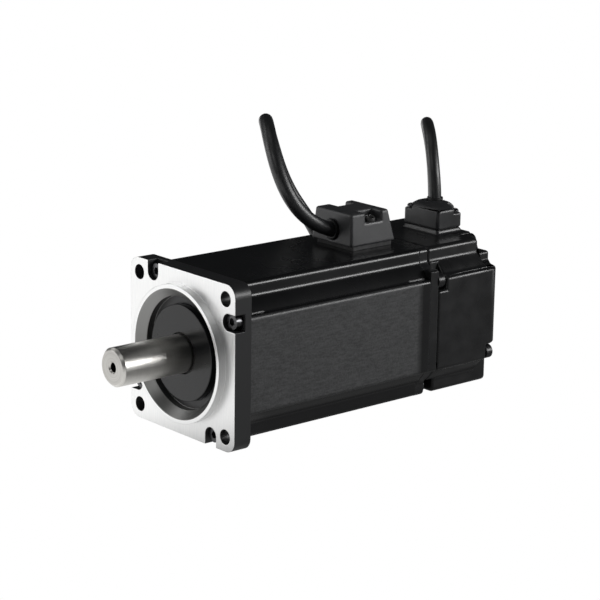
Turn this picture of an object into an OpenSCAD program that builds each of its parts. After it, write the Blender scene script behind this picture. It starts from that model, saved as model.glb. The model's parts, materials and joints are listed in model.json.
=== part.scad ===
// AC servo motor in a 60 mm frame, with a shaft encoder and two flying leads.
// X points right seen from the shaft end, Y runs from the shaft end to the rear, Z is up.
// The origin is the centre of the mounting face, on the shaft axis. Units are millimetres.

/* [Mounting flange] */
// Width and height of the square flange
flange_w = 60; // [59:0.2:61]
// Thickness of the flange
flange_t = 7.2; // [7:0.1:7.4]
// Corner radius of the flange
flange_corner_r = 4.6; // [3:0.2:5.4]
// Pitch circle of the four mounting holes
hole_pcd = 70; // [69.4:0.1:70.6]
// Diameter of a mounting hole
hole_d = 5.5; // [4.5:0.1:5.6]
// Diameter of the locating pilot
pilot_d = 50; // [49.4:0.2:50.6]
// Height of the locating pilot
pilot_h = 3; // [2:0.1:3.4]
// Largest diameter of the dish in the pilot's face
dish_d = 47; // [46:0.2:48]
// Diameter of the flat at the bottom of the dish
dish_floor_d = 41; // [40:0.2:42]

/* [Shaft] */
// Diameter of the output shaft
shaft_d = 14; // [13.9:0.02:14]
// Length of the output shaft in front of the mounting face
shaft_len = 30; // [24:1:36]
// Chamfer on the end of the shaft
shaft_chamfer = 0.9; // [0.4:0.1:1.4]
// Diameter of the threaded hole in the end of the shaft
end_hole_d = 3.3; // [2.6:0.1:4.2]
// Depth of the threaded hole in the end of the shaft
end_hole_depth = 10; // [6:1:14]

/* [Body] */
// Width and height of the body across its flats
body_w = 57; // [56.6:0.1:57.4]
// Width of the flat rails at the top and bottom
rail_w = 44; // [43:0.2:45]
// Height of the flat panels on the two sides
panel_h = 36; // [35:0.2:37]
// Radius of the round corners of the body, from the shaft axis
corner_r = 32; // [31.6:0.1:32.1]
// Rounding of the long edges of the rails
rail_edge_r = 1.8; // [1:0.1:2.2]
// Rounding of the long edges of the side panels
panel_edge_r = 1.5; // [1:0.1:2]
// Radius of the hollow fillet beside each rail
rail_fillet_r = 2; // [1.4:0.1:2.4]
// Length of the stator housing
housing_len = 86.7; // [86:0.1:88]
// Thickness of the rear bracket
bracket_t = 3.8; // [3.6:0.1:4]
// Thickness of the gasket under the encoder cover
gasket_t = 0.4; // [0.3:0.1:0.5]
// Length of the encoder cover
cover_len = 32.6; // [32:0.1:34]

/* [Leads] */
// Diameter of the power lead
power_lead_d = 5.4; // [5:0.1:5.6]
// Diameter of the encoder lead
encoder_lead_d = 4.8; // [4.4:0.1:5]

/* [Hidden] */

$fn = 96;
eps = 0.01;

half_body = body_w / 2;
half_rail = rail_w / 2;
y_housing = flange_t + housing_len;
y_bracket = y_housing + bracket_t;
y_cover = y_bracket + gasket_t;
y_end = y_cover + cover_len;
stator_bore = 25;

// Places of the cap screws, before they are repeated at each quarter turn
flange_screw_at = [-16.7, 26.3];
cover_screw_at = [15.3, 26];
screw_r = 1.22;
thread_r = 1.24;
clear_r = 1.6;
head_r = 2.75;
head_h = 3;

// Stator and rotor
stack_y = 24;
stack_len = 52;
slots = 12;
tooth_w = 4.2;
gap_r = 16;
yoke_r = 21.9;
magnets = 8;
magnet_r = 15.2;
core_r = 13;
rotor_seat_r = 8.5;

// Front ball bearing, 15 x 35 x 11
fb_y = 3;
seal_land_y = -0.8;
seal_land_r = shaft_d / 2 - 0.4;
fb_w = 11;
fb_bore_r = 7.5;
fb_out_r = 17.5;
fb_pitch_r = 12.5;
fb_ball_r = 2.95;
fb_balls = 8;

// Rear ball bearing, 10 x 26 x 8
rb_y = y_housing - 7.9;
rb_w = 8;
rb_bore_r = 5;
rb_out_r = 13;
rb_pitch_r = 9;
rb_ball_r = 2.1;
rb_balls = 9;

// Encoder
disc_y = y_cover + 5.9;
board_y = y_cover + 9.9;
board_r = 23.4;
standoff_r = 20.4;

// Power terminal box
pb_y = 81;
pb_floor = half_body + 1.7;
pb_top = 42.4;
pb_screw_x = 7.9;
pb_notch_z = 38.5;
power_exit = [0, 69.5, 35.3];
power_rise = 17;

// Encoder terminal box
eb_y = 121.4;
eb_floor = half_body + 1.8;
eb_crown_z = 40.4;
eb_w = 19;
eb_l = 12.8;
eb_lead_y = 122.4;

// Connectors on the free ends of the leads: where the lead enters, and the width of the body
power_plug_at = [-57, 50, -23.6];
power_plug_w = 11.4;
power_plug_len = 22;
encoder_plug_at = [-38, 40, -21.8];
encoder_plug_w = 15;
encoder_plug_len = 24;
connector_pitch = 4.2;

// Centre lines of the two leads, from inside their boxes to their connectors
power_route = [
    power_exit + [0, 3.8, -1.2], power_exit,
    [0, 61, 39], [-1, 53, 46], [-4, 49, 55], [-9, 49, 64], [-17, 53, 71],
    [-27, 60, 73], [-36, 68, 69], [-41, 75, 60], [-43, 81, 49], [-42, 87, 38],
    [-39, 93, 28], [-37, 98, 18], [-36, 103, 7], [-38, 105, -5], [-42, 102, -15],
    [-47, 95, -22], [-51, 85, -26], [-54, 74, -26], [-56, 63, -25],
    power_plug_at + [0, 4, 0], power_plug_at
];
encoder_route = [
    [0, eb_lead_y, 34.6], [0, eb_lead_y, 40.9],
    [-2, 123, 52], [-8, 127, 61], [-17, 134, 65], [-27, 143, 63], [-33, 151, 54],
    [-35, 155, 42], [-35, 156, 29], [-34, 155, 16], [-33, 152, 3], [-34, 148, -8],
    [-36, 141, -17], [-38, 131, -24], [-39, 119, -27], [-40, 106, -27], [-40, 92, -27],
    [-39, 78, -26], [-38, 64, -24], [-38, 52, -22],
    encoder_plug_at + [0, 4, 0], encoder_plug_at
];

// 2D shapes: the first coordinate becomes X and the second becomes Z
module rrect(w, h, r) {
    square([w - 2 * r, h], center = true);
    square([w, h - 2 * r], center = true);
    for (x = [-1, 1], y = [-1, 1])
        translate([x * (w / 2 - r), y * (h / 2 - r)])
            circle(r = r);
}

module yext(y0, y1)
    translate([0, y1, 0])
        rotate([90, 0, 0])
            linear_extrude(y1 - y0)
                children();

module ycyl(y0, y1, r)
    translate([0, y1, 0])
        rotate([90, 0, 0])
            cylinder(h = y1 - y0, r = r);

module ytube(y0, y1, r, bore)
    difference() {
        ycyl(y0, y1, r);
        ycyl(y0 - 1, y1 + 1, bore);
    }

module ycone(y0, y1, r0, r1)
    translate([0, y1, 0])
        rotate([90, 0, 0])
            cylinder(h = y1 - y0, r1 = r1, r2 = r0);

module zcyl(at, z0, z1, r)
    translate([at[0], at[1], z0])
        cylinder(h = z1 - z0, r = r);

module block(x0, x1, y0, y1, z0, z1)
    translate([x0, y0, z0])
        cube([x1 - x0, y1 - y0, z1 - z0]);

module quarters()
    for (a = [0:90:270])
        rotate([0, a, 0])
            children();

// Round rod between two points
module rod(p, q, r) {
    d = q - p;
    translate(p)
        rotate([0, acos(d[2] / norm(d)), atan2(d[1], d[0])])
            cylinder(h = norm(d), r = r, $fn = 24);
}

module body_corner_fill(w, r, f) {
    zf = sqrt((r + f) * (r + f) - (w + f) * (w + f));
    k = 0.85;
    difference() {
        polygon([[w - 6, zf], [w + f, zf], [k * (w + f), k * zf], [w - 6, k * zf]]);
        translate([w + f, zf])
            circle(r = f);
    }
}

// Rails, side panels and round corners of the body, with a hollow fillet beside each rail
module body_form(y0, y1, inset = 0) {
    yext(y0, y1)
        rrect(rail_w - 2 * inset, body_w - 2 * inset, rail_edge_r);
    yext(y0, y1)
        rrect(body_w - 2 * inset, panel_h - 2 * inset, panel_edge_r);
    intersection() {
        ycyl(y0, y1, corner_r - inset);
        block(-27, 27, y0, y1, -27, 27);
    }
    for (x = [0, 1], z = [0, 1])
        mirror([x, 0, 0])
            mirror([0, 0, z])
                yext(y0, y1)
                    body_corner_fill(half_rail - inset, corner_r - inset, rail_fillet_r);
}

// Socket cap screw with its head's top at Y = y0, pointing to +Y
module cap_screw(y0, len) {
    difference() {
        ycyl(y0, y0 + head_h, head_r);
        translate([0, y0 + 1.6, 0])
            rotate([90, 0, 0])
                cylinder(h = 3, r = 1.44, $fn = 6);
    }
    ycyl(y0 + head_h - eps, y0 + head_h + len, screw_r);
}

// Pan head screw standing on a floor at z, pointing down
module pan_screw(at, z, r, h, shank_r, len) {
    difference() {
        union() {
            zcyl(at, z, z + h * 0.6, r);
            translate([at[0], at[1], z + h * 0.6 - eps])
                cylinder(h = h * 0.4, r1 = r, r2 = r * 0.7);
        }
        translate([at[0] - r, at[1] - 0.25, z + h * 0.55])
            cube([2 * r, 0.5, h]);
        translate([at[0] - 0.25, at[1] - r, z + h * 0.55])
            cube([0.5, 2 * r, h]);
    }
    zcyl(at, z - len, z + eps, shank_r);
}

// Ring of a ball bearing with its raceway
module bearing_ring(y0, w, r_in, r_out, pitch_r, groove_r)
    translate([0, y0 + w, 0])
        rotate([90, 0, 0])
            rotate_extrude()
                difference() {
                    translate([r_in, 0])
                        square([r_out - r_in, w]);
                    translate([pitch_r, w / 2])
                        circle(r = groove_r);
                }

module ball_set(y, pitch_r, r, count)
    for (i = [0:count - 1])
        rotate([0, i * 360 / count, 0])
            translate([pitch_r, y, 0])
                sphere(r = r);

module ball_cage(y, w, r0, r1, pitch_r, pocket_r, count)
    difference() {
        ytube(y - w / 2, y + w / 2, r1, r0);
        for (i = [0:count - 1])
            rotate([0, i * 360 / count, 0])
                translate([pitch_r, y, 0])
                    rotate([0, 90, 0])
                        cylinder(h = 6, r = pocket_r, center = true);
    }

// Lead swept along a list of points
lead_side = [0.65, 0.76, 0];
function unit(v) = v / norm(v);
function heading(p, i) =
    unit(p[min(i + 1, len(p) - 1)] - p[max(i - 1, 0)]);
function ring_points(p, i, r, n) =
    let (t = heading(p, i), u = unit(cross(t, lead_side)), v = cross(t, u))
        [for (k = [0:n - 1]) p[i] + r * (cos(k * 360 / n) * u + sin(k * 360 / n) * v)];

module swept_lead(p, d, n = 10) {
    rings = len(p);
    points = [for (i = [0:rings - 1]) each ring_points(p, i, d / 2, n)];
    sides = [for (i = [0:rings - 2], k = [0:n - 1])
        let (a = i * n + k, b = i * n + (k + 1) % n)
            each [[a, a + n, b + n], [a, b + n, b]]];
    ends = [[for (k = [0:n - 1]) k], [for (k = [0:n - 1]) rings * n - 1 - k]];
    polyhedron(points = points, faces = concat(sides, ends), convexity = 10);
}

// Aluminium flange with the pilot, the dish and the seat of the front bearing
module front_bracket()
    color("gainsboro")
        difference() {
            union() {
                yext(0, flange_t)
                    rrect(flange_w, flange_w, flange_corner_r);
                ycyl(-pilot_h, eps, pilot_d / 2);
                ycyl(flange_t - eps, flange_t + 3, stator_bore - 0.05);
                ycyl(flange_t - eps, 15.5, 21);
            }
            ycone(-pilot_h - eps, 0, dish_d / 2, dish_floor_d / 2);
            ycyl(-eps, 2.6, dish_floor_d / 2);
            ycyl(2, fb_y + fb_w, fb_out_r);
            ycyl(fb_y + fb_w - eps, 16, 15);
            for (x = [-1, 1], z = [-1, 1])
                translate([x, 0, z] * hole_pcd / 2 / sqrt(2))
                    ycyl(-1, flange_t + 1, hole_d / 2);
            quarters()
                translate([flange_screw_at[0], 0, flange_screw_at[1]]) {
                    ycyl(-1, 4.5, 3.1);
                    block(-3.1, 3.1, -1, 4.5, 0, 6);
                    ycyl(4, flange_t + 1, clear_r);
                }
        }

// Cover disc round the shaft, with a recess for the seal behind it
module seal_disc()
    color("dimgray")
        difference() {
            ycyl(-0.2, 2.9, fb_out_r - 0.1);
            ycyl(-1, 4, 7.4);
            ycyl(0.9, 4, 12);
        }

module shaft_seal()
    color("saddlebrown")
        ytube(0.9, 2.5, 11.95, seal_land_r + 0.05);

module flange_screws()
    color("silver")
        quarters()
            translate([flange_screw_at[0], 0, flange_screw_at[1]])
                cap_screw(1.5, 10.5);

// Stepped shaft from the output end to the encoder end
module shaft()
    color("lightsteelblue")
        difference() {
            union() {
                ycone(-shaft_len, shaft_chamfer - shaft_len, shaft_d / 2 - shaft_chamfer, shaft_d / 2);
                ycyl(shaft_chamfer - shaft_len, seal_land_y, shaft_d / 2);
                ycyl(seal_land_y - eps, fb_y - 0.2, seal_land_r);
                ycyl(fb_y - 0.2 - eps, fb_y + fb_w, fb_bore_r);
                ycyl(fb_y + fb_w, stack_y - 2, 9.6);
                ycyl(stack_y - 2 - eps, stack_y + stack_len + 2, rotor_seat_r);
                ycyl(stack_y + stack_len + 2 - eps, rb_y, 6.4);
                ycyl(rb_y - eps, rb_y + rb_w + 0.3, rb_bore_r);
                ycyl(rb_y + rb_w, disc_y + 2, 4);
            }
            ycyl(-shaft_len - 1, end_hole_depth - shaft_len, end_hole_d / 2);
            ycone(-shaft_len - eps, 0.6 - shaft_len, end_hole_d / 2 + 0.6, end_hole_d / 2);
        }

module front_bearing_outer()
    color("silver")
        bearing_ring(fb_y, fb_w, 14.6, fb_out_r, fb_pitch_r, fb_ball_r + 0.05);

module front_bearing_inner()
    color("silver")
        bearing_ring(fb_y, fb_w, fb_bore_r, 10.4, fb_pitch_r, fb_ball_r + 0.05);

module front_bearing_balls()
    color("whitesmoke")
        ball_set(fb_y + fb_w / 2, fb_pitch_r, fb_ball_r, fb_balls);

module front_bearing_cage()
    color("goldenrod")
        ball_cage(fb_y + fb_w / 2, 7.6, 11.7, 13.3, fb_pitch_r, fb_ball_r + 0.05, fb_balls);

// Extruded housing round the stator, with the opening for the power header
module stator_housing()
    color("#202224")
        difference() {
            body_form(flange_t, y_housing);
            ycyl(flange_t - 1, y_housing + 1, stator_bore);
            quarters()
                translate([flange_screw_at[0], 0, flange_screw_at[1]]) {
                    ycyl(flange_t - 1, 16, thread_r);
                    ycyl(y_housing - 9, y_housing + 1, thread_r);
                }
            block(-5.4, 5.4, pb_y - 3.8, pb_y + 3.8, 20, 30);
            for (x = [-1, 1])
                zcyl([x * pb_screw_x, pb_y], 20, 30, 1.27);
        }

// Laminated stator with a shoe on the end of every tooth
module stator_core()
    color("slategray")
        yext(stack_y, stack_y + stack_len) {
            difference() {
                circle(r = stator_bore - 0.05);
                circle(r = yoke_r);
            }
            for (i = [0:slots - 1])
                rotate(i * 360 / slots)
                    translate([-tooth_w / 2, gap_r + 0.8])
                        square([tooth_w, yoke_r - gap_r - 0.5]);
            difference() {
                circle(r = gap_r + 1.2);
                circle(r = gap_r);
                for (i = [0:slots - 1])
                    rotate((i + 0.5) * 360 / slots)
                        translate([-0.7, 0])
                            square([1.4, gap_r + 3]);
            }
        }

// Plastic frame round each stator tooth
module coil_bobbins()
    color("ivory")
        for (i = [0:slots - 1])
            rotate([0, i * 360 / slots, 0])
                difference() {
                    union() {
                        block(-2.55, 2.55, stack_y - 0.8, stack_y + stack_len + 0.8, 17.3, 21.5);
                        block(-3.9, 3.9, stack_y - 2.6, stack_y + stack_len + 2.6, 17.3, 17.7);
                    }
                    block(-2.15, 2.15, stack_y - 0.1, stack_y + stack_len + 0.1, 17, 22);
                }

// Copper coil round each stator tooth
module windings()
    color("peru")
        for (i = [0:slots - 1])
            rotate([0, i * 360 / slots, 0])
                difference() {
                    block(-4.2, 4.2, stack_y - 3.2, stack_y + stack_len + 3.2, 17.75, 21.2);
                    block(-2.6, 2.6, stack_y - 0.85, stack_y + stack_len + 0.85, 17, 22);
                }

// Insulating ring that joins the coils to the phase leads
module terminal_ring()
    color("ivory")
        difference() {
            ytube(pb_y - 1, pb_y + 1.2, 22, 18);
            for (a = [20:40:340])
                rotate([0, a, 0])
                    block(-1, 1, pb_y - 2, pb_y - 0.2, 19, 21);
        }

module phase_leads()
    color("firebrick")
        for (x = [-3.6, -1.2, 1.2])
            zcyl([x, pb_y], 22.05, 24, 0.5);

module rotor_core()
    color("slategray")
        difference() {
            ycyl(stack_y, stack_y + stack_len, core_r);
            ycyl(stack_y - 1, stack_y + stack_len + 1, rotor_seat_r);
            for (i = [0:magnets - 1])
                rotate([0, (i + 0.5) * 360 / magnets, 0])
                    translate([0, 0, core_r])
                        ycyl(stack_y - 1, stack_y + stack_len + 1, 0.6);
        }

// Curved magnets on the rotor core, with a gap between neighbours
module rotor_magnets()
    color("gray")
        difference() {
            ytube(stack_y, stack_y + stack_len, magnet_r, core_r);
            for (i = [0:magnets - 1])
                rotate([0, (i + 0.5) * 360 / magnets, 0])
                    block(-0.8, 0.8, stack_y - 1, stack_y + stack_len + 1, 10, 17);
        }

module rotor_sleeve()
    color("lightgray")
        ytube(stack_y, stack_y + stack_len, magnet_r + 0.25, magnet_r);

module rotor_end_plates()
    color("darkkhaki") {
        ytube(stack_y - 1.6, stack_y, 14.6, rotor_seat_r);
        ytube(stack_y + stack_len, stack_y + stack_len + 1.6, 14.6, rotor_seat_r);
    }

// Rear bracket with the seat of the rear bearing and the bosses round its screws
module rear_bracket()
    color("#2a2c2e")
        difference() {
            union() {
                body_form(y_housing, y_bracket);
                intersection() {
                    block(-half_body, half_body, y_housing, y_bracket, -half_body, half_body);
                    quarters()
                        translate([flange_screw_at[0], 0, flange_screw_at[1]])
                            ycyl(y_housing, y_bracket, 4.6);
                }
                ytube(y_housing - 3, y_housing + eps, stator_bore - 0.05, 21);
                ycyl(y_housing - 8.4, y_housing + eps, 16);
            }
            ycyl(y_housing - 9, rb_y + rb_w + 1, rb_out_r);
            ycyl(y_housing, y_bracket + 1, 6);
            quarters() {
                translate([flange_screw_at[0], 0, flange_screw_at[1]])
                    ycyl(y_housing - 1, y_bracket + 1, clear_r);
                translate([cover_screw_at[0], 0, cover_screw_at[1]])
                    ycyl(y_housing - 1, y_bracket + 1, thread_r);
            }
            for (a = [45:90:315])
                rotate([0, a, 0])
                    translate([0, 0, standoff_r])
                        ycyl(y_bracket - 2.6, y_bracket + 1, 0.92);
        }

module bracket_screws()
    color("silver")
        quarters()
            translate([flange_screw_at[0], y_bracket + head_h, flange_screw_at[1]])
                rotate([180, 0, 0])
                    cap_screw(0, 11);

module rear_bearing_outer()
    color("silver")
        bearing_ring(rb_y, rb_w, 10.5, rb_out_r, rb_pitch_r, rb_ball_r + 0.05);

module rear_bearing_inner()
    color("silver")
        bearing_ring(rb_y, rb_w, rb_bore_r, 7.5, rb_pitch_r, rb_ball_r + 0.05);

module rear_bearing_balls()
    color("whitesmoke")
        ball_set(rb_y + rb_w / 2, rb_pitch_r, rb_ball_r, rb_balls);

module rear_bearing_cage()
    color("goldenrod")
        ball_cage(rb_y + rb_w / 2, 5.6, 8.4, 9.6, rb_pitch_r, rb_ball_r + 0.05, rb_balls);

// Wavy spring washer, shown pressed flat between the bearing and its seat
module wave_washer()
    color("silver")
        ytube(rb_y + rb_w, rb_y + rb_w + 1, 12.7, 10.6);

module cover_gasket()
    color("black")
        difference() {
            body_form(y_bracket, y_cover, 0.4);
            ycyl(y_bracket - 1, y_cover + 1, stator_bore);
            quarters() {
                translate([flange_screw_at[0], 0, flange_screw_at[1]])
                    head_pocket(y_bracket - 1, y_cover + 1);
                translate([cover_screw_at[0], 0, cover_screw_at[1]])
                    ycyl(y_bracket - 1, y_cover + 1, clear_r);
            }
        }

// Pocket that clears a bracket screw's head and opens to the corner
module head_pocket(y0, y1) {
    ycyl(y0, y1, 3.6);
    block(-9, 3.6, y0, y1, 0, 8);
    block(-9, 0, y0, y1, -3.6, 8);
}

// Encoder cover with the foot of the encoder terminal box
module encoder_cover()
    color("#232527")
        difference() {
            union() {
                body_form(y_cover, y_end - 6.2);
                intersection() {
                    yext(y_end - 6.2 - eps, y_end)
                        union() {
                            rrect(rail_w, body_w, rail_edge_r);
                            rrect(body_w, panel_h, panel_edge_r);
                            circle(r = 29.5, $fn = 128);
                        }
                    block(-half_body, half_body, 60, y_end, -half_body, half_body);
                    translate([0, 0, -40])
                        linear_extrude(80) {
                            translate([-half_body, y_cover])
                                square([body_w, cover_len - 5]);
                            translate([5 - half_body, y_cover])
                                square([body_w - 10, cover_len]);
                            for (x = [-1, 1])
                                translate([x * (half_body - 5), y_end - 5])
                                    circle(r = 5);
                        }
                }
                block(-9.4, 9.4, eb_y - 6.4, eb_y + 6.4, half_body - 1, eb_floor);
            }
            ycyl(y_cover - 1, y_end - 2.7, stator_bore);
            block(-4.5, 4.5, eb_y - 3, eb_y + 3.4, 20, eb_floor + 1);
            quarters() {
                translate([flange_screw_at[0], 0, flange_screw_at[1]])
                    head_pocket(y_cover - 1, y_cover + 4.2);
                translate([cover_screw_at[0], 0, cover_screw_at[1]]) {
                    ycyl(y_cover - 1, y_end, clear_r);
                    ycyl(y_end - 6.2, y_end + 1, 3.2);
                    block(-3.2, 8, y_end - 6.2, y_end + 1, 0, 8);
                    block(0, 8, y_end - 6.2, y_end + 1, -3.2, 8);
                }
            }
            zcyl([-7.4, eb_y - 4.2], 27, eb_floor + 1, 0.92);
            zcyl([7.4, eb_y + 4.2], 27, eb_floor + 1, 0.92);
        }

module cover_screws()
    color("silver")
        quarters()
            translate([cover_screw_at[0], y_end - 6.2 + head_h, cover_screw_at[1]])
                rotate([180, 0, 0])
                    cap_screw(0, cover_len - 6.2 + gasket_t + bracket_t - 0.3);

module encoder_hub()
    color("silver") {
        ytube(disc_y - 5, disc_y, 8, 4);
        ytube(disc_y + 0.8, disc_y + 1.6, 6, 4);
    }

// Code disc with a ring of slots
module encoder_disc()
    color("lightcyan")
        difference() {
            ytube(disc_y, disc_y + 0.8, 14, 4);
            for (a = [0:10:350])
                rotate([0, a, 0])
                    block(-0.45, 0.45, disc_y - 1, disc_y + 2, 11.2, 12.8);
        }

module encoder_board()
    color("darkgreen")
        difference() {
            ycyl(board_y, board_y + 1.6, board_r);
            ycyl(board_y - 1, board_y + 3, 4.6);
            for (a = [45:90:315])
                rotate([0, a, 0])
                    translate([0, 0, standoff_r])
                        ycyl(board_y - 1, board_y + 3, 1.05);
        }

module encoder_sensor()
    color("black") {
        block(-4, 4, board_y - 2.2, board_y, 8.6, 14.6);
        block(-4, 4, board_y - 2.2, board_y, -14.6, -8.6);
    }

module encoder_chips()
    color("#303030") {
        block(-4.5, 4.5, board_y + 1.6, board_y + 3.2, 7, 16);
        block(8, 13, board_y + 1.6, board_y + 2.8, -5, 5);
        block(-13, -8, board_y + 1.6, board_y + 2.8, -5, 5);
        translate([-6, 0, -13])
            ycyl(board_y + 1.6, board_y + 7, 3);
        block(0, 9, board_y + 1.6, board_y + 7.4, -16, -10);
    }

module encoder_standoffs()
    color("gold")
        for (a = [45:90:315])
            rotate([0, a, 0])
                translate([0, 0, standoff_r]) {
                    difference() {
                        translate([0, board_y, 0])
                            rotate([90, 0, 0])
                                cylinder(h = board_y - y_bracket, r = 2.4, $fn = 6);
                        ycyl(board_y - 4, board_y + 1, 0.92);
                    }
                    ycyl(y_bracket - 2.4, y_bracket + eps, 0.9);
                }

module board_screws()
    color("silver")
        for (a = [45:90:315])
            rotate([0, a, 0])
                translate([0, 0, standoff_r]) {
                    ycyl(board_y + 1.6, board_y + 2.8, 1.9);
                    ycyl(board_y - 3, board_y + 1.6 + eps, 0.9);
                }

module power_gasket()
    color("black")
        difference() {
            block(-10, 10, 71.5, 90.5, half_body, pb_floor);
            block(-5.4, 5.4, pb_y - 3.8, pb_y + 3.8, half_body - 1, pb_floor + 1);
            for (x = [-1, 1])
                zcyl([x * pb_screw_x, pb_y], half_body - 1, pb_floor + 1, 1.3);
        }

// Header in the housing wall that carries the phase pins
module power_header()
    color("ivory")
        difference() {
            block(-5.2, 5.2, pb_y - 3.6, pb_y + 3.6, 25.2, 32.6);
            for (x = [-3.6:2.4:3.6])
                zcyl([x, pb_y], 24, 34, 0.52);
        }

module power_pins()
    color("gold")
        for (x = [-3.6:2.4:3.6])
            zcyl([x, pb_y], 24, 34.4, 0.5);

module power_wires()
    color("red")
        for (x = [-3.6:2.4:3.6]) {
            outer = abs(x) > 2;
            q = [x * (outer ? 0.3 : 0.6), 74.2, outer ? 34.6 : 33.2];
            zcyl([x, pb_y], 34.4, 35, 0.5);
            translate([x, pb_y, 35])
                sphere(r = 0.5, $fn = 24);
            rod([x, pb_y, 35], q, 0.45);
        }

// Outside of the power terminal box: sloped front, rear and sides
module power_box_form(grow, z1) {
    intersection() {
        yext(60, 100)
            polygon([
                [-11.3 - grow, pb_floor], [11.3 + grow, pb_floor],
                [10.1 + grow, z1], [-10.1 - grow, z1]
            ]);
        translate([-20, 0, 0])
            rotate([90, 0, 90])
                linear_extrude(40)
                    polygon([
                        [69.5 - grow, pb_floor], [91.5 + grow, pb_floor],
                        [88.6 + grow, z1], [70.3 - grow, z1]
                    ]);
    }
}

// Power terminal box, hollow, with a screw in a notch on each side
module power_shell()
    color("#2b2e31")
        difference() {
            power_box_form(0, pb_top);
            difference() {
                block(-8.6, 8.6, 71.6, 87.4, pb_floor - 1, 36.6);
                for (x = [-1, 1])
                    zcyl([x * pb_screw_x, pb_y], pb_floor, 38, 2.3);
            }
            for (x = [-1, 1]) {
                block(x * 10 - 4.9, x * 10 + 4.9, pb_y - 3.8, pb_y + 3.9, pb_notch_z, 45);
                zcyl([x * pb_screw_x, pb_y], pb_floor - 1, 45, 1.3);
            }
            translate(power_exit)
                rotate([90 - power_rise, 0, 0])
                    cylinder(h = 12, r = 3.5, center = true);
        }

module power_shell_screws()
    color("silver")
        for (x = [-1, 1])
            pan_screw([x * pb_screw_x, pb_y], pb_notch_z, 2.3, 2, 1.25, 12.6);

module power_gland()
    color("black")
        intersection() {
            translate(power_exit)
                rotate([90 - power_rise, 0, 0])
                    difference() {
                        cylinder(h = 11, r = 3.45, center = true);
                        cylinder(h = 20, r = power_lead_d / 2 + 0.05, center = true);
                    }
            block(-5, 5, 69, 73.2, 30, 42);
        }

module power_lead()
    color("#1c1d1f")
        swept_lead(power_route, power_lead_d);

// Free half of a connector: body with a latch on top and rows of contact holes in front
module connector(at, w, len, rows)
    translate(at)
        difference() {
            union() {
                block(-w / 2, w / 2, -len, 0, -w / 2, w / 2);
                block(-w / 2 - 0.8, w / 2 + 0.8, 2 - len * 0.5, 0, -w / 2, w / 2 - 1);
                block(-2.2, 2.2, 3 - len, -4, w / 2 - eps, w / 2 + 1.6);
            }
            block(-3, 3, 5 - len, -8, w / 2, w / 2 + 1);
            for (x = [0:rows - 1], z = [0:rows - 1])
                translate([x - (rows - 1) / 2, 0, z - (rows - 1) / 2] * connector_pitch)
                    ycyl(-len - 1, 12 - len, 1.35);
        }

// Contacts of a connector, deep in their holes
module contacts(at, len, rows)
    translate(at)
        for (x = [0:rows - 1], z = [0:rows - 1])
            translate([x - (rows - 1) / 2, 0, z - (rows - 1) / 2] * connector_pitch)
                ytube(1.5 - len, 12 - len, 1.2, 0.7);

// Free end of the power lead: a four way connector
module power_plug()
    color("ivory")
        connector(power_plug_at, power_plug_w, power_plug_len, 2);

module power_contacts()
    color("gold")
        contacts(power_plug_at, power_plug_len, 2);

// Encoder terminal box with a domed top and two screw notches
module encoder_shell()
    color("#26282c")
        difference() {
            intersection() {
                yext(100, 140)
                    intersection() {
                        translate([-eb_w / 2, eb_floor])
                            square([eb_w, 20]);
                        translate([0, eb_crown_z - 17])
                            circle(r = 17, $fn = 128);
                    }
                translate([-20, 0, 0])
                    rotate([90, 0, 90])
                        linear_extrude(40)
                            intersection() {
                                translate([eb_y - eb_l / 2, eb_floor])
                                    square([eb_l, 20]);
                                translate([eb_y, eb_crown_z - 8.5])
                                    circle(r = 8.5, $fn = 128);
                            }
                translate([0, eb_y, 0])
                    linear_extrude(60)
                        rrect(eb_w, eb_l, 1.2);
            }
            difference() {
                block(-8.2, 8.2, eb_y - 5, eb_y + 5, eb_floor - 1, 35.2);
                for (s = [-1, 1])
                    zcyl([s * 7.4, eb_y + s * 4.2], eb_floor, 36, 1.9);
            }
            block(-12, -5.2, eb_y - 8, eb_y - 2.4, 36.5, 45);
            block(5.4, 12, eb_y + 2.4, eb_y + 8, 35.9, 45);
            for (s = [-1, 1])
                zcyl([s * 7.4, eb_y + s * 4.2], eb_floor - 1, 45, 0.95);
            zcyl([0, eb_lead_y], 33, 45, 3.1);
        }

module encoder_shell_screws()
    color("silver") {
        pan_screw([-7.4, eb_y - 4.2], 36.5, 1.7, 1.4, 0.9, 9.2);
        pan_screw([7.4, eb_y + 4.2], 35.9, 1.7, 1.4, 0.9, 8.6);
    }

module encoder_gland()
    color("black")
        difference() {
            zcyl([0, eb_lead_y], 35.2, 40.9, 3.05);
            zcyl([0, eb_lead_y], 34, 45, encoder_lead_d / 2 + 0.05);
        }

module encoder_wires()
    color("green")
        for (x = [-2.4:1.6:2.4]) {
            rod([x, board_y + 7.4, -13], [x, 119, -13], 0.4);
        }

module encoder_lead()
    color("#1c1d1f")
        swept_lead(encoder_route, encoder_lead_d);

// Free end of the encoder lead: a nine way connector
module encoder_plug()
    color("ivory")
        connector(encoder_plug_at, encoder_plug_w, encoder_plug_len, 3);

module encoder_contacts()
    color("gold")
        contacts(encoder_plug_at, encoder_plug_len, 3);

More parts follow.
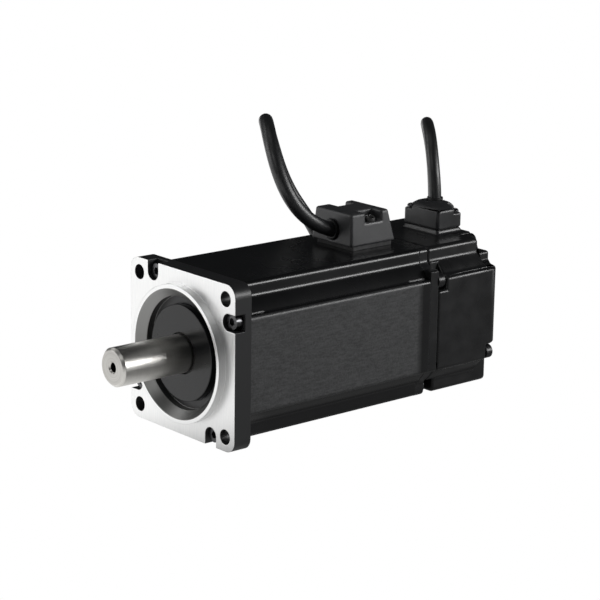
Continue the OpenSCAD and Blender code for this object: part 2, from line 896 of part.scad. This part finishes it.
front_bracket();
seal_disc();
shaft_seal();
flange_screws();
shaft();
front_bearing_outer();
front_bearing_inner();
front_bearing_balls();
front_bearing_cage();
stator_housing();
stator_core();
coil_bobbins();
windings();
terminal_ring();
phase_leads();
rotor_core();
rotor_magnets();
rotor_sleeve();
rotor_end_plates();
rear_bracket();
bracket_screws();
rear_bearing_outer();
rear_bearing_inner();
rear_bearing_balls();
rear_bearing_cage();
wave_washer();
cover_gasket();
encoder_cover();
cover_screws();
encoder_hub();
encoder_disc();
encoder_board();
encoder_sensor();
encoder_chips();
encoder_standoffs();
board_screws();
power_gasket();
power_header();
power_pins();
power_wires();
power_shell();
power_shell_screws();
power_gland();
power_lead();
power_plug();
power_contacts();
encoder_shell();
encoder_shell_screws();
encoder_gland();
encoder_wires();
encoder_lead();
encoder_plug();
encoder_contacts();
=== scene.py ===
import json
import math

import bpy
import numpy as np
from mathutils import Matrix, Vector


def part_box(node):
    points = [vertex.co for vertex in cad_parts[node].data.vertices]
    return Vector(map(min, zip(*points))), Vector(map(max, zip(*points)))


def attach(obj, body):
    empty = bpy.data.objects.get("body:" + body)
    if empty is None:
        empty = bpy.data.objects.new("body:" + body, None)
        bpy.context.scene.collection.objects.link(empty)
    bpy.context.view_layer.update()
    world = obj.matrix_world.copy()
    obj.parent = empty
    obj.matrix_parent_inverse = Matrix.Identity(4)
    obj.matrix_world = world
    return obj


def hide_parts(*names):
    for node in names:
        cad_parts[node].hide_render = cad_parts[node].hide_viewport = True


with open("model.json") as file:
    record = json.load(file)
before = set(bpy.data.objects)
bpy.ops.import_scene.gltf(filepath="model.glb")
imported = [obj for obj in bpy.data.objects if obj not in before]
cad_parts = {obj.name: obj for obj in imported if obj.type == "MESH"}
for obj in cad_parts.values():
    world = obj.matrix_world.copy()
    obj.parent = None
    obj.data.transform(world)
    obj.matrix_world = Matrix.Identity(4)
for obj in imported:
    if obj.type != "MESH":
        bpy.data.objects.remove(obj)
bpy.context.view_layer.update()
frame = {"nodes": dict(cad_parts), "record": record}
nodes = frame["nodes"]
scene = bpy.context.scene
MM = 0.001
FLOOR_Z = -0.03


# ---------------------------------------------------------------- camera
AZIMUTH, ELEVATION, ROLL = (math.radians(a) for a in (49.313, 14.587, 0.826))
CAMERA_AT = Vector((575.8, -440.3, 208.3)) * MM
LENS, SENSOR = 128.03, 36.0

back = Vector((
    math.sin(AZIMUTH) * math.cos(ELEVATION),
    -math.cos(AZIMUTH) * math.cos(ELEVATION),
    math.sin(ELEVATION),
))
side = (-back).cross(Vector((0, 0, 1))).normalized()
up = side.cross(-back)
cam_x = math.cos(ROLL) * side + math.sin(ROLL) * up
cam_y = -math.sin(ROLL) * side + math.cos(ROLL) * up
cam_data = bpy.data.cameras.new("camera")
cam_data.lens, cam_data.sensor_width = LENS, SENSOR
cam_data.clip_start, cam_data.clip_end = 0.05, 50
camera = bpy.data.objects.new("camera", cam_data)
camera.matrix_world = Matrix.Translation(CAMERA_AT) @ Matrix((cam_x, cam_y, back)).transposed().to_4x4()
scene.collection.objects.link(camera)
scene.camera = camera
scene.view_settings.view_transform = "Standard"


# ---------------------------------------------------------------- node helpers
class Mat:
    """A material with short names for making and wiring its nodes."""

    def __init__(self, name, **values):
        self.m = bpy.data.materials.new(name)
        self.m.use_nodes = True
        self.t = self.m.node_tree
        self.b = self.t.nodes["Principled BSDF"]
        for key, value in values.items():
            self.b.inputs[key.replace("_", " ")].default_value = value

    def node(self, kind, **links):
        n = self.t.nodes.new(kind)
        for key, value in links.items():
            if key.startswith("set_"):
                setattr(n, key[4:], value)
            else:
                self.put(n.inputs[key.replace("_", " ")], value)
        return n

    def put(self, socket, value):
        if isinstance(value, bpy.types.NodeSocket):
            self.t.links.new(value, socket)
        else:
            socket.default_value = value

    def position(self):
        return self.node("ShaderNodeNewGeometry").outputs["Position"]

    def mapped(self, scale):
        n = self.node("ShaderNodeMapping", Vector=self.position())
        n.inputs["Scale"].default_value = scale
        return n.outputs["Vector"]

    def noise(self, scale, detail=3, rough=0.55, vector=None, stretch=None):
        if stretch:
            vector = self.mapped(stretch)
        n = self.node("ShaderNodeTexNoise", Scale=scale, Detail=detail, Roughness=rough)
        self.put(n.inputs["Vector"], vector or self.position())
        return n.outputs["Fac"]

    def ramp(self, fac, stops):
        n = self.node("ShaderNodeValToRGB", Fac=fac)
        e = n.color_ramp.elements
        while len(e) < len(stops):
            e.new(0.5)
        for el, (at, c) in zip(e, stops):
            el.position = at
            el.color = c if len(c) == 4 else (*c, 1)
        return n.outputs["Color"]

    def math(self, op, a, b=0.0):
        n = self.node("ShaderNodeMath", set_operation=op)
        self.put(n.inputs[0], a)
        self.put(n.inputs[1], b)
        return n.outputs[0]

    def remap(self, fac, a0, a1, b0, b1):
        n = self.node("ShaderNodeMapRange", Value=fac)
        for k, v in zip(("From Min", "From Max", "To Min", "To Max"), (a0, a1, b0, b1)):
            n.inputs[k].default_value = v
        return n.outputs["Result"]

    def mix(self, fac, a, b):
        n = self.node("ShaderNodeMix", set_data_type="RGBA")
        self.put(n.inputs[0], fac)
        self.put(n.inputs[6], a if isinstance(a, bpy.types.NodeSocket) or len(a) == 4 else (*a, 1))
        self.put(n.inputs[7], b if isinstance(b, bpy.types.NodeSocket) or len(b) == 4 else (*b, 1))
        return n.outputs[2]

    def rounded(self, radius):
        """Normal that rounds every sharp edge by a radius."""
        n = self.node("ShaderNodeBevel", Radius=radius)
        n.samples = 16
        return n.outputs["Normal"]

    def bump(self, height, strength, distance, rounding=0.0003):
        n = self.node("ShaderNodeBump", Height=height, Strength=strength, Distance=distance)
        self.put(n.inputs["Normal"], self.rounded(rounding))
        return n.outputs["Normal"]

    def edges(self, radius):
        """1 on sharp edges within radius, 0 on flat surfaces."""
        bevel = self.node("ShaderNodeBevel", Radius=radius)
        bevel.samples = 4
        geo = self.node("ShaderNodeNewGeometry")
        dot = self.node("ShaderNodeVectorMath", set_operation="DOT_PRODUCT")
        self.put(dot.inputs[0], bevel.outputs["Normal"])
        self.put(dot.inputs[1], geo.outputs["Normal"])
        return self.remap(dot.outputs["Value"], 1.0, 0.86, 0.0, 1.0)

    def out(self, color=None, rough=None, normal=None, metallic=None):
        sockets = {"Base Color": color, "Roughness": rough, "Normal": normal, "Metallic": metallic}
        for key, value in sockets.items():
            if value is not None:
                self.put(self.b.inputs[key], value)
        return self.m


# ---------------------------------------------------------------- leads
POWER_D, ENCODER_D = 5.4 * MM, 4.8 * MM
POWER_ROUTE = [
    (0, 73.3, 34.1), (0, 69.5, 35.3),
    (0, 61, 39), (-1, 53, 46), (-4, 49, 55), (-9, 49, 64), (-17, 53, 71),
    (-27, 60, 73), (-36, 68, 69), (-41, 75, 60), (-43, 81, 49), (-42, 87, 38),
    (-39, 93, 28), (-37, 98, 18), (-36, 103, 7), (-38, 105, -5), (-42, 102, -15),
    (-47, 95, -22), (-51, 85, -26), (-54, 74, -26), (-56, 63, -25),
    (-57, 54, -23.6), (-57, 50, -23.6),
]
ENCODER_ROUTE = [
    (0, 122.4, 34.6), (0, 122.4, 40.9),
    (-2, 123, 52), (-8, 127, 61), (-17, 134, 65), (-27, 143, 63), (-33, 151, 54),
    (-35, 155, 42), (-35, 156, 29), (-34, 155, 16), (-33, 152, 3), (-34, 148, -8),
    (-36, 141, -17), (-38, 131, -24), (-39, 119, -27), (-40, 106, -27), (-40, 92, -27),
    (-39, 78, -26), (-38, 64, -24), (-38, 52, -22),
    (-38, 44, -21.8), (-38, 40, -21.8),
]


def smooth_route(points, step=0.0015):
    """Points of a natural cubic spline through the route, evenly spaced, in metres."""
    p = np.array(points, float) * MM
    s = np.r_[0, np.cumsum(np.linalg.norm(np.diff(p, axis=0), axis=1))]
    n, h = len(p), np.diff(s)
    a, rhs = np.eye(n), np.zeros((n, 3))
    for i in range(1, n - 1):
        a[i, i - 1:i + 2] = h[i - 1], 2 * (h[i - 1] + h[i]), h[i]
        rhs[i] = 6 * ((p[i + 1] - p[i]) / h[i] - (p[i] - p[i - 1]) / h[i - 1])
    m = np.linalg.solve(a, rhs)
    u = np.linspace(0, s[-1], round(s[-1] / step))
    k = np.clip(np.searchsorted(s, u, side="right") - 1, 0, n - 2)
    hk, left, right = h[k][:, None], (s[k + 1] - u)[:, None], (u - s[k])[:, None]
    return (
        m[k] * left ** 3 / (6 * hk) + m[k + 1] * right ** 3 / (6 * hk)
        + (p[k] / hk - m[k] * hk / 6) * left + (p[k + 1] / hk - m[k + 1] * hk / 6) * right
    )


def lead(name, route, diameter, material):
    """A lead as one curve, with its real length."""
    pts = smooth_route(route)
    data = bpy.data.curves.new(name, "CURVE")
    data.dimensions = "3D"
    data.bevel_depth, data.bevel_resolution, data.use_fill_caps = diameter / 2, 6, True
    spline = data.splines.new("POLY")
    spline.points.add(len(pts) - 1)
    spline.points.foreach_set("co", np.c_[pts, np.ones(len(pts))].ravel())
    spline.use_smooth = True
    obj = bpy.data.objects.new(name, data)
    obj.data.materials.append(material)
    scene.collection.objects.link(obj)
    return obj, float(np.linalg.norm(np.diff(pts, axis=0), axis=1).sum())


def sheath(name):
    """Black satin lead sheath, faintly ribbed by the wires inside."""
    s = Mat(name)
    s.b.inputs["Specular IOR Level"].default_value = 0.7
    fine = s.noise(900, 4)
    rough = s.remap(fine, 0.3, 0.7, 0.36, 0.46)
    base = s.ramp(s.noise(60, 3), [(0.3, (0.010, 0.0105, 0.0115)), (0.75, (0.020, 0.021, 0.023))])
    return s.out(color=base, rough=rough, normal=s.bump(fine, 0.12, 0.0001))


black_sheath = sheath("black_sheath")
power_lead, power_length = lead("power_lead_sheath", POWER_ROUTE, POWER_D, black_sheath)
encoder_lead, encoder_length = lead("encoder_lead_sheath", ENCODER_ROUTE, ENCODER_D, black_sheath)
for obj, cad, route, length, diameter, ends in (
    (
        power_lead, "power_lead", POWER_ROUTE, power_length, POWER_D,
        ("power_plug", "power_contacts"),
    ),
    (
        encoder_lead, "encoder_lead", ENCODER_ROUTE, encoder_length, ENCODER_D,
        ("encoder_plug", "encoder_contacts"),
    ),
):
    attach(obj, "stator")
    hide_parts(cad)


# ---------------------------------------------------------------- materials
# Radii about the shaft axis: pilot, dish, cone of the dish (darkened inside as painted shade), groove round
# the disc, centre hole (near black inside as painted shade)
PILOT_R, DISH_R, CONE_R, GROOVE_R, CENTRE_HOLE_R = 0.0252, 0.0256, 0.0236, 0.0204, 0.00167
SHAFT_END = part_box("shaft")[0][1] + 0.0001
# Side panel of the housing: its plane, half its height, and where it ends
PANEL_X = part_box("stator_housing")[1][0] - 0.0008
PANEL_Z = 0.0185
PANEL_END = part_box("stator_housing")[1][1]


def black_paint(name, color=0.011, rough=0.30, grain=1.0, rounding=0.0004, spec=0.5, wear=0.5):
    """Satin black paint with a fine orange peel and slightly polished edges."""
    p = Mat(name)
    p.b.inputs["Specular IOR Level"].default_value = spec
    peel = p.noise(420, 2)
    cloud = p.noise(38, 4, 0.6)
    c = color
    base = p.ramp(cloud, [(0.3, (c * 0.8, c * 0.82, c * 0.88)), (0.72, (c * 1.35, c * 1.38, c * 1.45))])
    base = p.mix(p.math("MULTIPLY", p.edges(0.0005), wear), base, (0.05, 0.052, 0.055))
    r = p.remap(p.noise(150, 4), 0.3, 0.7, rough - 0.05, rough + 0.07)
    return p.out(color=base, rough=r, normal=p.bump(peel, 0.10 * grain, 0.0002, rounding))


def housing_paint(name):
    """Black paint on the housing: smooth on the rails, rougher over the laminated side panels."""
    p = Mat(name)
    p.b.inputs["Specular IOR Level"].default_value = 0.5
    xyz = p.node("ShaderNodeSeparateXYZ", Vector=p.position())
    fine = p.noise(1500, 3, 0.6)
    drawn = p.noise(1.0, 3, 0.6, stretch=(900, 260, 1500))
    grain = p.math("ADD", p.math("MULTIPLY", fine, 0.5), p.math("MULTIPLY", drawn, 0.5))
    cloud = p.noise(32, 4, 0.6)
    side = p.math("GREATER_THAN", p.math("ABSOLUTE", xyz.outputs["X"]), PANEL_X)
    height = p.remap(p.math("ABSOLUTE", xyz.outputs["Z"]), PANEL_Z - 0.002, PANEL_Z, 1, 0)
    length = p.remap(xyz.outputs["Y"], PANEL_END - 0.0065, PANEL_END - 0.0035, 1, 0)
    panel = p.math("MULTIPLY", side, p.math("MULTIPLY", height, length))
    smooth = p.ramp(cloud, [(0.3, (0.006, 0.0062, 0.0067)), (0.72, (0.010, 0.0103, 0.011))])
    grey = p.ramp(grain, [(0.38, (0.032, 0.0325, 0.0335)), (0.62, (0.070, 0.071, 0.073))])
    base = p.mix(panel, smooth, grey)
    base = p.mix(p.math("MULTIPLY", p.edges(0.0003), 0.4), base, (0.05, 0.052, 0.055))
    r_smooth = p.remap(cloud, 0.3, 0.7, 0.24, 0.29)
    r_panel = p.remap(grain, 0.3, 0.7, 0.40, 0.52)
    rest = p.math("SUBTRACT", 1.0, panel)
    rough = p.math("ADD", p.math("MULTIPLY", r_panel, panel), p.math("MULTIPLY", r_smooth, rest))
    relief = p.math("MULTIPLY", grain, panel)
    return p.out(color=base, rough=rough, normal=p.bump(relief, 0.12, 0.0002, 0.0010))


def metal(name, color, rough, lines=None, depth=0.12, tint=0.12, scale=300, patch=70, rounding=0.0002):
    """Bare metal with tool marks. lines stretches the marks along X, Y and Z."""
    m = Mat(name, Metallic=1.0)
    marks = m.noise(1.0, 4, 0.6, stretch=lines) if lines else m.noise(scale, 4)
    cloud = m.noise(patch, 4, 0.6)
    lo, hi = ([max(0, v * (1 - tint)) for v in color], [min(1, v * (1 + tint * 0.6)) for v in color])
    base = m.ramp(marks, [(0.3, lo), (0.7, hi)])
    base = m.mix(m.remap(cloud, 0.45, 0.75, 0, 0.35), base, [v * 0.72 for v in color])
    r = m.remap(marks, 0.3, 0.7, rough - 0.06, rough + 0.08)
    return m.out(color=base, rough=r, normal=m.bump(marks, depth, 0.0001, rounding))


def shaft_radius(m):
    """Distance from the shaft axis, and the place along it."""
    xyz = m.node("ShaderNodeSeparateXYZ", Vector=m.position())
    x2 = m.math("POWER", xyz.outputs["X"], 2.0)
    z2 = m.math("POWER", xyz.outputs["Z"], 2.0)
    return m.math("SQRT", m.math("ADD", x2, z2)), xyz.outputs["Y"]


def turning(m, pitch):
    """Concentric marks of a lathe about the shaft axis."""
    radius, along = shaft_radius(m)
    across = m.math("MULTIPLY", radius, pitch)
    place = m.node("ShaderNodeCombineXYZ", X=across, Y=m.math("MULTIPLY", along, pitch))
    return m.noise(1.0, 3, 0.6, vector=place.outputs[0])


def ground_shaft():
    """Ground steel: fine rings round the shaft, a turned end, and painted shade making the centre hole near
    black.
    """
    m = Mat("ground_shaft_steel", Metallic=1.0)
    marks = turning(m, 7000.0)
    radius, along = shaft_radius(m)
    smudge = m.noise(110, 4, 0.6)
    base = m.ramp(marks, [(0.3, (0.48, 0.47, 0.445)), (0.7, (0.72, 0.71, 0.68))])
    base = m.mix(m.remap(smudge, 0.45, 0.75, 0, 0.4), base, (0.42, 0.41, 0.385))
    end = m.math("LESS_THAN", along, SHAFT_END)
    place = m.node("ShaderNodeCombineXYZ", X=m.math("MULTIPLY", radius, 1700.0))
    rings = m.noise(1.0, 3, 0.7, vector=place.outputs[0])
    base = m.mix(m.math("MULTIPLY", end, m.remap(rings, 0.35, 0.7, 0, 0.75)), base, (0.30, 0.29, 0.275))
    # Painted shade: inside the centre hole the steel is coloured near black.
    hole = m.math("LESS_THAN", radius, CENTRE_HOLE_R)
    base = m.mix(hole, base, (0.02, 0.02, 0.02))
    rough = m.math("ADD", m.remap(marks, 0.3, 0.7, 0.28, 0.38), m.math("MULTIPLY", smudge, 0.06))
    return m.out(color=base, rough=rough, normal=m.bump(marks, 0.22, 0.00008, 0.0002))


def plain(name, color, rough=0.5, metallic=0.0, scale=400, depth=0.12, vary=0.15, spec=0.5, rounding=0.0003):
    """Moulded or coated stuff with a fine surface and a little colour variation."""
    p = Mat(name, Metallic=metallic)
    p.b.inputs["Specular IOR Level"].default_value = spec
    fine = p.noise(scale, 3)
    lo, hi = [v * (1 - vary) for v in color], [min(1, v * (1 + vary)) for v in color]
    base = p.ramp(p.noise(scale / 8, 4, 0.6), [(0.3, lo), (0.7, hi)])
    return p.out(color=base, rough=p.remap(fine, 0.3, 0.7, rough - 0.06, rough + 0.08),
                 normal=p.bump(fine, depth, 0.0001, rounding))


def machined_flange():
    """Milled aluminium in front and in the dish, with painted shade darkening the cone of the dish; black
    paint on the edges and pockets, and the same black in the groove.
    """
    m = Mat("machined_flange")
    radius, along = shaft_radius(m)
    rings = turning(m, 2600.0)
    brushed = m.noise(1.0, 4, 0.65, stretch=(2200, 40, 160))
    in_pilot = m.math("LESS_THAN", radius, PILOT_R)
    marks = m.math("ADD", m.math("MULTIPLY", rings, in_pilot),
                   m.math("MULTIPLY", brushed, m.math("SUBTRACT", 1.0, in_pilot)))
    facing = m.node("ShaderNodeSeparateXYZ", Vector=m.node("ShaderNodeNewGeometry").outputs["Normal"])
    front = m.math("GREATER_THAN", m.math("MULTIPLY", facing.outputs["Y"], -1.0), 0.4)
    on_face = m.math("MULTIPLY", front, m.math("LESS_THAN", along, 0.0006))
    outer = m.math("GREATER_THAN", radius, GROOVE_R)
    dish = m.math("MULTIPLY", m.math("LESS_THAN", radius, DISH_R), outer)
    bare = m.math("MAXIMUM", m.math("MULTIPLY", on_face, outer), dish)
    steel = m.ramp(marks, [(0.3, (0.84, 0.845, 0.845)), (0.7, (0.94, 0.94, 0.93))])
    # Painted shade: the cone inside the dish is coloured dark grey to stand in for its dark reflections and
    # the shade of the recess.
    steel = m.mix(m.math("MULTIPLY", dish, m.math("LESS_THAN", radius, CONE_R)), steel, (0.24, 0.24, 0.235))
    color = m.mix(bare, (0.022, 0.0226, 0.0238), steel)
    painted = m.math("MULTIPLY", m.math("SUBTRACT", 1.0, bare), 0.40)
    rough = m.math("ADD", m.math("MULTIPLY", m.remap(marks, 0.3, 0.7, 0.32, 0.46), bare), painted)
    return m.out(color=color, rough=rough, metallic=bare, normal=m.bump(marks, 0.12, 0.0001, 0.00035))


paint = black_paint("black_paint_cast")
black_screw = metal("black_oxide_screw", (0.13, 0.13, 0.135), 0.3, scale=900)
painted_screw = plain("painted_screw", (0.012, 0.012, 0.013), 0.35, scale=900)
rubber = plain("seal_rubber", (0.012, 0.012, 0.013), 0.55)
by_slot = {
    "plated_screw": metal("plated_screw", (0.55, 0.56, 0.57), 0.28, scale=900),
    "seal_rubber": rubber,
    "bearing_steel": metal("bearing_steel", (0.50, 0.51, 0.53), 0.2, lines=(300, 3000, 300)),
    "ball_steel": metal("ball_steel", (0.72, 0.73, 0.75), 0.08, scale=500, depth=0.02),
    "brass_cage": metal("brass", (0.62, 0.44, 0.16), 0.3, scale=700),
    "lamination": metal("lamination_steel", (0.26, 0.27, 0.29), 0.42, lines=(120, 4000, 120), depth=0.4),
    "white_nylon": plain("white_nylon", (0.78, 0.77, 0.72), 0.45, scale=300),
    "copper_wire": metal("copper_wire", (0.45, 0.19, 0.07), 0.32, lines=(2200, 90, 2200), depth=0.6),
    "red_wire": plain("red_wire", (0.45, 0.02, 0.02), 0.4),
    "magnet_nickel": metal("nickel", (0.55, 0.54, 0.50), 0.25, scale=500),
    "code_glass": plain("code_disc_glass", (0.5, 0.58, 0.62), 0.12, scale=200, depth=0.02),
    "green_board": plain("green_board", (0.02, 0.16, 0.06), 0.35, scale=500),
    "black_chip": plain("black_chip", (0.018, 0.018, 0.02), 0.45),
    "gold_contact": metal("gold_contact", (0.75, 0.52, 0.18), 0.22, scale=700),
    "black_paint": paint,
    "black_sheath": black_sheath,
}
box_screw = metal("box_screw", (0.11, 0.11, 0.11), 0.4, scale=900)
by_node = {
    "power_shell_screws": box_screw,
    "encoder_shell_screws": black_screw,
    "front_bracket": machined_flange(),
    "seal_disc": plain(
        "seal_disc_coating", (0.008, 0.0085, 0.009), 0.2, depth=0.03, spec=0.35, rounding=0.0008,
    ),
    "flange_screws": black_screw,
    "bracket_screws": painted_screw,
    "cover_screws": painted_screw,
    "shaft": ground_shaft(),
    "stator_housing": housing_paint("black_paint_housing"),
    "power_shell": black_paint("black_box_power", 0.039, 0.40, 1.0, 0.0009),
    "encoder_shell": black_paint("black_box_encoder", 0.027, 0.36, 1.0, 0.0007),
}
for entry in frame["record"]["subparts"]:
    name, slot = entry["node"], entry["material_slot"]
    obj = nodes[name]
    obj.data.materials.clear()
    obj.data.materials.append(by_node.get(name) or by_slot[slot])


# Rounded outer edges on the castings and boxes
ROUNDED_MM = {"encoder_cover": 1.1, "power_shell": 0.9, "encoder_shell": 0.7}
for name, width in ROUNDED_MM.items():
    modifiers = nodes[name].modifiers
    modifiers.new("weld", "WELD").merge_threshold = 0.000002
    flat = modifiers.new("flat", "DECIMATE")
    flat.decimate_type, flat.angle_limit = "DISSOLVE", math.radians(0.6)
    bevel = modifiers.new("bevel", "BEVEL")
    bevel.width, bevel.segments = width * MM, 4
    bevel.limit_method, bevel.angle_limit = "ANGLE", math.radians(50)
    bevel.use_clamp_overlap = False


# ---------------------------------------------------------------- floor and lights
FLOOR_HALF = 6.0


def floor_material():
    """White to the eye; in reflections it is lit from the front left and falls off to the right and back."""
    m = Mat("pale_floor")
    nodes_, links = m.t.nodes, m.t.links
    nodes_.remove(m.b)
    seen = m.node("ShaderNodeEmission", Color=(1, 1, 1, 1), Strength=1.0)
    xyz = m.node("ShaderNodeSeparateXYZ", Vector=m.position())
    right, rear = m.math("MULTIPLY", xyz.outputs["X"], 0.75), m.math("MULTIPLY", xyz.outputs["Y"], 0.65)
    across = m.math("ADD", right, rear)
    lit = m.node("ShaderNodeEmission", Color=(1, 1, 1, 1), Strength=m.remap(across, -0.03, 0.035, 1.1, 0.16))
    path = m.node("ShaderNodeLightPath")
    mix = m.node("ShaderNodeMixShader", Fac=path.outputs["Is Camera Ray"])
    links.new(lit.outputs[0], mix.inputs[1])
    links.new(seen.outputs[0], mix.inputs[2])
    links.new(mix.outputs[0], nodes_["Material Output"].inputs["Surface"])
    return m.m


floor_mesh = bpy.data.meshes.new("floor")
corners = [(x * FLOOR_HALF, y * FLOOR_HALF, FLOOR_Z) for x, y in ((-1, -1), (1, -1), (1, 1), (-1, 1))]
floor_mesh.from_pydata(corners, [], [(0, 1, 2, 3)])
floor_mesh.materials.append(floor_material())
floor = bpy.data.objects.new("floor", floor_mesh)
scene.collection.objects.link(floor)

world = bpy.data.worlds.new("studio")
scene.world = world
world.use_nodes = True
sky = world.node_tree.nodes["Background"].inputs
sky["Color"].default_value, sky["Strength"].default_value = (0.9, 0.95, 1, 1), 0.015


def softbox(name, at, target, size, radiance):
    """Rectangular area light at a place, turned to a target, as bright as its radiance."""
    data = bpy.data.lights.new(name, "AREA")
    data.shape, data.size, data.size_y = "RECTANGLE", size[0], size[1]
    data.energy = radiance * math.pi * size[0] * size[1]
    obj = bpy.data.objects.new(name, data)
    obj.location = at
    obj.rotation_mode = "QUATERNION"
    obj.rotation_quaternion = (Vector(at) - Vector(target)).to_track_quat("Z", "Y")
    scene.collection.objects.link(obj)


softbox("right_back", (1.1, 1.05, 0.40), (0, 0.06, 0), (1.0, 0.42), 11)
softbox("top", (-0.2, -0.1, 1.3), (0, 0.05, 0), (0.8, 0.8), 0.5)
softbox("front_left", (-1.0, -1.0, 0.45), (0, 0, 0), (1.0, 0.7), 2.2)
softbox("left_top", (-1.1, -0.35, 0.92), (0, 0, 0), (0.6, 0.5), 1.3)
softbox("front_top", (0.3, -1.0, 1.0), (0, 0, 0), (0.5, 0.5), 2.0)
